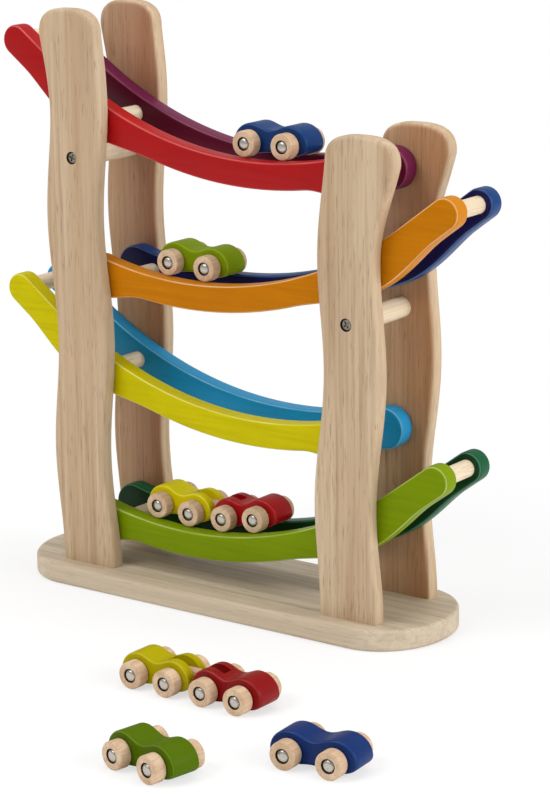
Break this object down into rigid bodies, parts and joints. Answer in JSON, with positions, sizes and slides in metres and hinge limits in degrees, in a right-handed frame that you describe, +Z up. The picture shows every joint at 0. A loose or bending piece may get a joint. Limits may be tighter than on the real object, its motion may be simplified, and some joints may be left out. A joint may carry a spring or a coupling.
{
  "type": "click clack track toy",
  "caption": "Wooden track toy: wavy posts on an oval base carry a zigzag of curved rail ramps, down which small wheeled cars roll from side to side.",
  "frame": {"origin": "middle of the underside of the base", "axes": "+Z up; +X along the toy, from the tall posts to the short posts; +Y from the front rails, which are red, orange, yellow and lime, to the back rails"},
  "size_m": [0.4103, 0.3383, 0.38],
  "materials": {
    "wood": "fine-grained hardwood, lacquered matt",
    "wheel_wood": "turned hardwood, lacquered matt",
    "red": "satin paint on hardwood, a little wood showing through",
    "purple": "satin paint on hardwood, a little wood showing through",
    "orange": "satin paint on hardwood, a little wood showing through",
    "navy": "satin paint on hardwood, a little wood showing through",
    "yellow": "satin paint on hardwood, a little wood showing through",
    "light_blue": "satin paint on hardwood, a little wood showing through",
    "lime": "satin paint on hardwood, a little wood showing through",
    "dark_green": "satin paint on hardwood, a little wood showing through",
    "blue": "satin paint on hardwood, a little wood showing through",
    "nickel": "nickel plated, slightly worn"
  },
  "bodies": {
    "stand": {"base": "wood", "tall_front_post": "wood", "tall_back_post": "wood", "short_front_post": "wood", "short_back_post": "wood", "red_rail": "red", "purple_rail": "purple", "orange_rail": "orange", "navy_rail": "navy", "yellow_rail": "yellow", "light_blue_rail": "light_blue", "lime_rail": "lime", "dark_green_rail": "dark_green", "ramp_1_ties": "wood", "ramp_2_ties": "wood", "ramp_3_ties": "wood", "ramp_4_ties": "wood", "left_stretcher": "wood", "right_stretcher": "wood", "stretcher_screws": "nickel", "foot_screws": "nickel"},
    "blue_track": {"blue_track_body": "blue", "blue_track_axles": "nickel"},
    "blue_track_rear_wheels": {"blue_track_rear_wheels": "wheel_wood"},
    "blue_track_front_wheels": {"blue_track_front_wheels": "wheel_wood"},
    "green_track": {"green_track_body": "lime", "green_track_axles": "nickel"},
    "green_track_rear_wheels": {"green_track_rear_wheels": "wheel_wood"},
    "green_track_front_wheels": {"green_track_front_wheels": "wheel_wood"},
    "yellow_track": {"yellow_track_body": "yellow", "yellow_track_axles": "nickel"},
    "red_track": {"red_track_body": "red", "red_track_axles": "nickel"},
    "track_link": {"track_link": "wood"},
    "yellow_track_rear_wheels": {"yellow_track_rear_wheels": "wheel_wood"},
    "yellow_track_front_wheels": {"yellow_track_front_wheels": "wheel_wood"},
    "red_track_rear_wheels": {"red_track_rear_wheels": "wheel_wood"},
    "red_track_front_wheels": {"red_track_front_wheels": "wheel_wood"},
    "blue_floor": {"blue_floor_body": "blue", "blue_floor_axles": "nickel"},
    "blue_floor_rear_wheels": {"blue_floor_rear_wheels": "wheel_wood"},
    "blue_floor_front_wheels": {"blue_floor_front_wheels": "wheel_wood"},
    "green_floor": {"green_floor_body": "lime", "green_floor_axles": "nickel"},
    "green_floor_rear_wheels": {"green_floor_rear_wheels": "wheel_wood"},
    "green_floor_front_wheels": {"green_floor_front_wheels": "wheel_wood"},
    "yellow_floor": {"yellow_floor_body": "yellow", "yellow_floor_axles": "nickel"},
    "red_floor": {"red_floor_body": "red", "red_floor_axles": "nickel"},
    "floor_link": {"floor_link": "wood"},
    "yellow_floor_rear_wheels": {"yellow_floor_rear_wheels": "wheel_wood"},
    "yellow_floor_front_wheels": {"yellow_floor_front_wheels": "wheel_wood"},
    "red_floor_rear_wheels": {"red_floor_rear_wheels": "wheel_wood"},
    "red_floor_front_wheels": {"red_floor_front_wheels": "wheel_wood"}
  },
  "joints": [
    {"name": "blue_track_roll", "type": "hinge", "parent": "stand", "child": "blue_track", "pos_m": [0.0315, 0, 0.5599], "axis": [0, -1, 0], "range_deg": [-34, 11.6]},
    {"name": "blue_track_rear_spin", "type": "hinge", "parent": "blue_track", "child": "blue_track_rear_wheels", "pos_m": [0.0195, 0, 0.30178], "axis": [0, -1, 0], "continuous": true},
    {"name": "blue_track_front_spin", "type": "hinge", "parent": "blue_track", "child": "blue_track_front_wheels", "pos_m": [0.0485, 0, 0.30206], "axis": [0, -1, 0], "continuous": true},
    {"name": "green_track_roll", "type": "hinge", "parent": "stand", "child": "green_track", "pos_m": [-0.019, 0, 0.4776], "axis": [0, 1, 0], "range_deg": [-35.4, 10.3]},
    {"name": "green_track_rear_spin", "type": "hinge", "parent": "green_track", "child": "green_track_rear_wheels", "pos_m": [-0.04198, 0, 0.22022], "axis": [0, 1, 0], "continuous": true},
    {"name": "green_track_front_spin", "type": "hinge", "parent": "green_track", "child": "green_track_front_wheels", "pos_m": [-0.01299, 0, 0.21927], "axis": [0, 1, 0], "continuous": true},
    {"name": "yellow_track_roll", "type": "hinge", "parent": "stand", "child": "yellow_track", "pos_m": [-0.0255, 0, 0.313], "axis": [0, 1, 0], "range_deg": [-26, 8.9]},
    {"name": "yellow_track_rear_spin", "type": "hinge", "parent": "yellow_track", "child": "yellow_track_rear_wheels", "pos_m": [-0.05475, 0, 0.05626], "axis": [0, 1, 0], "continuous": true},
    {"name": "yellow_track_front_spin", "type": "hinge", "parent": "yellow_track", "child": "yellow_track_front_wheels", "pos_m": [-0.02941, 0, 0.05463], "axis": [0, 1, 0], "continuous": true},
    {"name": "track_link_yellow_pivot", "type": "hinge", "parent": "yellow_track", "child": "track_link", "pos_m": [-0.02941, 0, 0.05463], "axis": [0, -1, 0], "range_deg": [0, 20]},
    {"name": "track_link_red_pivot", "type": "hinge", "parent": "track_link", "child": "red_track", "pos_m": [-0.00262, 0, 0.05561], "axis": [0, -1, 0], "range_deg": [0, 20]},
    {"name": "red_track_rear_spin", "type": "hinge", "parent": "red_track", "child": "red_track_rear_wheels", "pos_m": [0.02253, 0, 0.0591], "axis": [0, 1, 0], "continuous": true},
    {"name": "red_track_front_spin", "type": "hinge", "parent": "red_track", "child": "red_track_front_wheels", "pos_m": [-0.00262, 0, 0.05561], "axis": [0, 1, 0], "continuous": true},
    {"name": "blue_floor_drive", "type": "slide", "parent": "stand", "child": "blue_floor", "axis": [0.9976, 0.0698, 0], "range_m": [-0.06, 0.06]},
    {"name": "blue_floor_rear_spin", "type": "hinge", "parent": "blue_floor", "child": "blue_floor_rear_wheels", "pos_m": [0.19653, -0.21301, 0.0083], "axis": [-0.0698, 0.9976, 0], "continuous": true},
    {"name": "blue_floor_front_spin", "type": "hinge", "parent": "blue_floor", "child": "blue_floor_front_wheels", "pos_m": [0.22546, -0.21099, 0.0083], "axis": [-0.0698, 0.9976, 0], "continuous": true},
    {"name": "green_floor_drive", "type": "slide", "parent": "stand", "child": "green_floor", "axis": [0.9816, -0.1908, 0], "range_m": [-0.06, 0.06]},
    {"name": "green_floor_rear_spin", "type": "hinge", "parent": "green_floor", "child": "green_floor_rear_wheels", "pos_m": [0.12377, -0.26523, 0.0083], "axis": [0.1908, 0.9816, 0], "continuous": true},
    {"name": "green_floor_front_spin", "type": "hinge", "parent": "green_floor", "child": "green_floor_front_wheels", "pos_m": [0.15223, -0.27077, 0.0083], "axis": [0.1908, 0.9816, 0], "continuous": true},
    {"name": "yellow_floor_drive", "type": "slide", "parent": "stand", "child": "yellow_floor", "axis": [0.9998, -0.0175, 0], "range_m": [-0.06, 0.06]},
    {"name": "yellow_floor_rear_spin", "type": "hinge", "parent": "yellow_floor", "child": "yellow_floor_rear_wheels", "pos_m": [0.04971, -0.16032, 0.0083], "axis": [0.0175, 0.9998, 0], "continuous": true},
    {"name": "yellow_floor_front_spin", "type": "hinge", "parent": "yellow_floor", "child": "yellow_floor_front_wheels", "pos_m": [0.0751, -0.16077, 0.0083], "axis": [0.0175, 0.9998, 0], "continuous": true},
    {"name": "floor_link_yellow_pivot", "type": "hinge", "parent": "yellow_floor", "child": "floor_link", "pos_m": [0.0751, -0.16077, 0.0083], "axis": [-0.0175, -0.9998, 0], "range_deg": [0, 20]},
    {"name": "floor_link_red_pivot", "type": "hinge", "parent": "floor_link", "child": "red_floor", "pos_m": [0.1019, -0.16123, 0.0083], "axis": [-0.0175, -0.9998, 0], "range_deg": [0, 20]},
    {"name": "red_floor_rear_spin", "type": "hinge", "parent": "red_floor", "child": "red_floor_rear_wheels", "pos_m": [0.12729, -0.16168, 0.0083], "axis": [0.0175, 0.9998, 0], "continuous": true},
    {"name": "red_floor_front_spin", "type": "hinge", "parent": "red_floor", "child": "red_floor_front_wheels", "pos_m": [0.1019, -0.16123, 0.0083], "axis": [0.0175, 0.9998, 0], "continuous": true}
  ],
  "couplings": [
    {"joint": "blue_track_rear_spin", "follows": "blue_track_roll", "ratio": -32.133},
    {"joint": "blue_track_front_spin", "follows": "blue_track_roll", "ratio": -32.133},
    {"joint": "green_track_rear_spin", "follows": "green_track_roll", "ratio": -32.133},
    {"joint": "green_track_front_spin", "follows": "green_track_roll", "ratio": -32.133},
    {"joint": "yellow_track_rear_spin", "follows": "yellow_track_roll", "ratio": -32.133},
    {"joint": "yellow_track_front_spin", "follows": "yellow_track_roll", "ratio": -32.133},
    {"joint": "red_track_rear_spin", "follows": "yellow_track_roll", "ratio": -32.133},
    {"joint": "red_track_front_spin", "follows": "yellow_track_roll", "ratio": -32.133},
    {"joint": "blue_floor_rear_spin", "follows": "blue_floor_drive", "rad_per_m": 120.48},
    {"joint": "blue_floor_front_spin", "follows": "blue_floor_drive", "rad_per_m": 120.48},
    {"joint": "green_floor_rear_spin", "follows": "green_floor_drive", "rad_per_m": 120.48},
    {"joint": "green_floor_front_spin", "follows": "green_floor_drive", "rad_per_m": 120.48},
    {"joint": "yellow_floor_rear_spin", "follows": "yellow_floor_drive", "rad_per_m": 120.48},
    {"joint": "yellow_floor_front_spin", "follows": "yellow_floor_drive", "rad_per_m": 120.48},
    {"joint": "red_floor_rear_spin", "follows": "yellow_floor_drive", "rad_per_m": 120.48},
    {"joint": "red_floor_front_spin", "follows": "yellow_floor_drive", "rad_per_m": 120.48}
  ]
}
